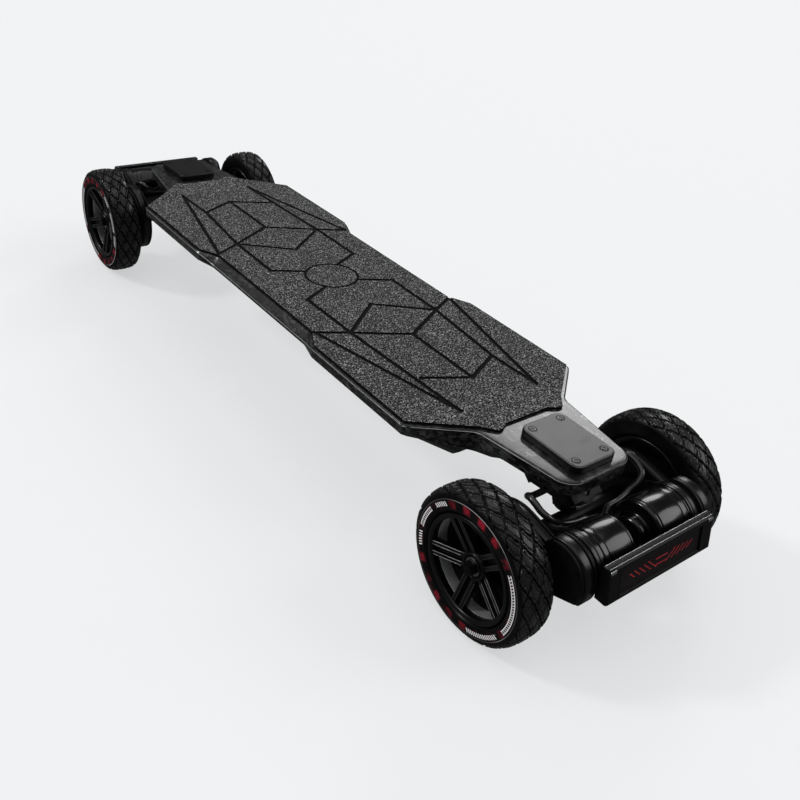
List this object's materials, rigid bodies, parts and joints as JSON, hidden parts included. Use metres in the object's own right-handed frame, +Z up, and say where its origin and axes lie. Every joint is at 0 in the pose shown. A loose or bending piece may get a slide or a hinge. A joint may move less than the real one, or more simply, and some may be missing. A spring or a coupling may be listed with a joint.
{
  "type": "electric mountainboard",
  "caption": "Electric mountainboard: grip-topped carbon deck, battery enclosure, steering double-kingpin trucks and geared motor drives to large treaded wheels.",
  "frame": {"origin": "on the ground under the middle of the board, at the centre of the bounding box", "axes": "+Y along the board to its nose, +X to the right, +Z up"},
  "size_m": [0.289, 1.132, 0.1615],
  "materials": {
    "carbon": "forged carbon, clear gloss",
    "grip": "gritty anti-slip sheet",
    "casing": "moulded, satin",
    "satin_metal": "satin dark grey",
    "black_metal": "gloss black",
    "steel": "turned",
    "tyre": "treaded rubber",
    "hub": "satin black with a grey lip",
    "bushing": "cast urethane",
    "cell": "wrapped cells",
    "board": "sealed electronics",
    "cable": "sheathed",
    "accent": "moulded"
  },
  "bodies": {
    "deck": {"deck_shell": "carbon", "grip_tape": "grip", "enclosure_tub": "casing", "battery_pack": "cell", "motor_controller": "board", "front_cover_plate": "black_metal", "rear_cover_plate": "satin_metal", "front_baseplate": "black_metal", "front_inner_kingpin": "steel", "front_inner_bushing": "bushing", "rear_baseplate": "black_metal", "rear_inner_kingpin": "steel", "rear_inner_bushing": "bushing"},
    "power_switch": {"power_button": "accent"},
    "front_yoke_body": {"front_yoke": "satin_metal", "front_outer_bushing": "bushing", "front_outer_kingpin": "steel"},
    "front_left_wheel": {"front_left_tyre": "tyre", "front_left_hub": "hub", "front_left_bearing": "steel", "front_left_wheel_gear": "steel"},
    "front_left_rotor": {"front_left_motor_rotor": "steel"},
    "front_right_wheel": {"front_right_tyre": "tyre", "front_right_hub": "hub", "front_right_bearing": "steel", "front_right_wheel_gear": "steel"},
    "front_right_rotor": {"front_right_motor_rotor": "steel"},
    "front_truck": {"front_hanger": "black_metal", "front_axle": "steel", "front_guard_bar": "satin_metal", "front_motor_cable": "cable", "front_left_gear_housing": "satin_metal", "front_left_motor_can": "black_metal", "front_left_axle_nut": "steel", "front_right_gear_housing": "satin_metal", "front_right_motor_can": "black_metal", "front_right_axle_nut": "steel"},
    "rear_yoke_body": {"rear_yoke": "satin_metal", "rear_outer_bushing": "bushing", "rear_outer_kingpin": "steel"},
    "rear_left_wheel": {"rear_left_tyre": "tyre", "rear_left_hub": "hub", "rear_left_bearing": "steel", "rear_left_wheel_gear": "steel"},
    "rear_left_rotor": {"rear_left_motor_rotor": "steel"},
    "rear_right_wheel": {"rear_right_tyre": "tyre", "rear_right_hub": "hub", "rear_right_bearing": "steel", "rear_right_wheel_gear": "steel"},
    "rear_right_rotor": {"rear_right_motor_rotor": "steel"},
    "rear_truck": {"rear_hanger": "black_metal", "rear_axle": "steel", "rear_guard_bar": "satin_metal", "rear_motor_cable": "cable", "rear_left_gear_housing": "satin_metal", "rear_left_motor_can": "black_metal", "rear_left_axle_nut": "steel", "rear_right_gear_housing": "satin_metal", "rear_right_motor_can": "black_metal", "rear_right_axle_nut": "steel"}
  },
  "joints": [
    {"name": "power_button_press", "type": "slide", "parent": "deck", "child": "power_switch", "axis": [-1, 0, 0], "range_m": [0, 0.0012], "stiffness_N_per_m": 900},
    {"name": "front_inner_pivot", "type": "hinge", "parent": "deck", "child": "front_yoke_body", "pos_m": [0, 0.406, 0.11], "axis": [0, 0.6442, 0.7648], "range_deg": [-7, 7], "stiffness_Nm_per_rad": 160},
    {"name": "front_outer_pivot", "type": "hinge", "parent": "front_yoke_body", "child": "front_truck", "pos_m": [0, 0.442, 0.096], "axis": [0, 0.6442, 0.7648], "range_deg": [-7, 7], "stiffness_Nm_per_rad": 160},
    {"name": "front_left_wheel_spin", "type": "hinge", "parent": "front_truck", "child": "front_left_wheel", "pos_m": [0, 0.456, 0.07962], "axis": [1, 0, 0], "continuous": true},
    {"name": "front_left_rotor_spin", "type": "hinge", "parent": "front_truck", "child": "front_left_rotor", "pos_m": [0, 0.51777, 0.10286], "axis": [1, 0, 0], "continuous": true},
    {"name": "front_right_wheel_spin", "type": "hinge", "parent": "front_truck", "child": "front_right_wheel", "pos_m": [0, 0.456, 0.07962], "axis": [1, 0, 0], "continuous": true},
    {"name": "front_right_rotor_spin", "type": "hinge", "parent": "front_truck", "child": "front_right_rotor", "pos_m": [0, 0.51777, 0.10286], "axis": [1, 0, 0], "continuous": true},
    {"name": "rear_inner_pivot", "type": "hinge", "parent": "deck", "child": "rear_yoke_body", "pos_m": [0, -0.406, 0.11], "axis": [0, -0.6442, 0.7648], "range_deg": [-7, 7], "stiffness_Nm_per_rad": 160},
    {"name": "rear_outer_pivot", "type": "hinge", "parent": "rear_yoke_body", "child": "rear_truck", "pos_m": [0, -0.442, 0.096], "axis": [0, -0.6442, 0.7648], "range_deg": [-7, 7], "stiffness_Nm_per_rad": 160},
    {"name": "rear_left_wheel_spin", "type": "hinge", "parent": "rear_truck", "child": "rear_left_wheel", "pos_m": [0, -0.456, 0.07962], "axis": [1, 0, 0], "continuous": true},
    {"name": "rear_left_rotor_spin", "type": "hinge", "parent": "rear_truck", "child": "rear_left_rotor", "pos_m": [0, -0.51777, 0.10286], "axis": [1, 0, 0], "continuous": true},
    {"name": "rear_right_wheel_spin", "type": "hinge", "parent": "rear_truck", "child": "rear_right_wheel", "pos_m": [0, -0.456, 0.07962], "axis": [1, 0, 0], "continuous": true},
    {"name": "rear_right_rotor_spin", "type": "hinge", "parent": "rear_truck", "child": "rear_right_rotor", "pos_m": [0, -0.51777, 0.10286], "axis": [1, 0, 0], "continuous": true}
  ],
  "couplings": [
    {"joint": "front_outer_pivot", "follows": "front_inner_pivot", "ratio": 1},
    {"joint": "front_left_rotor_spin", "follows": "front_left_wheel_spin", "ratio": -1.9333},
    {"joint": "front_right_rotor_spin", "follows": "front_right_wheel_spin", "ratio": -1.9333},
    {"joint": "rear_outer_pivot", "follows": "rear_inner_pivot", "ratio": 1},
    {"joint": "rear_left_rotor_spin", "follows": "rear_left_wheel_spin", "ratio": -1.9333},
    {"joint": "rear_right_rotor_spin", "follows": "rear_right_wheel_spin", "ratio": -1.9333}
  ]
}
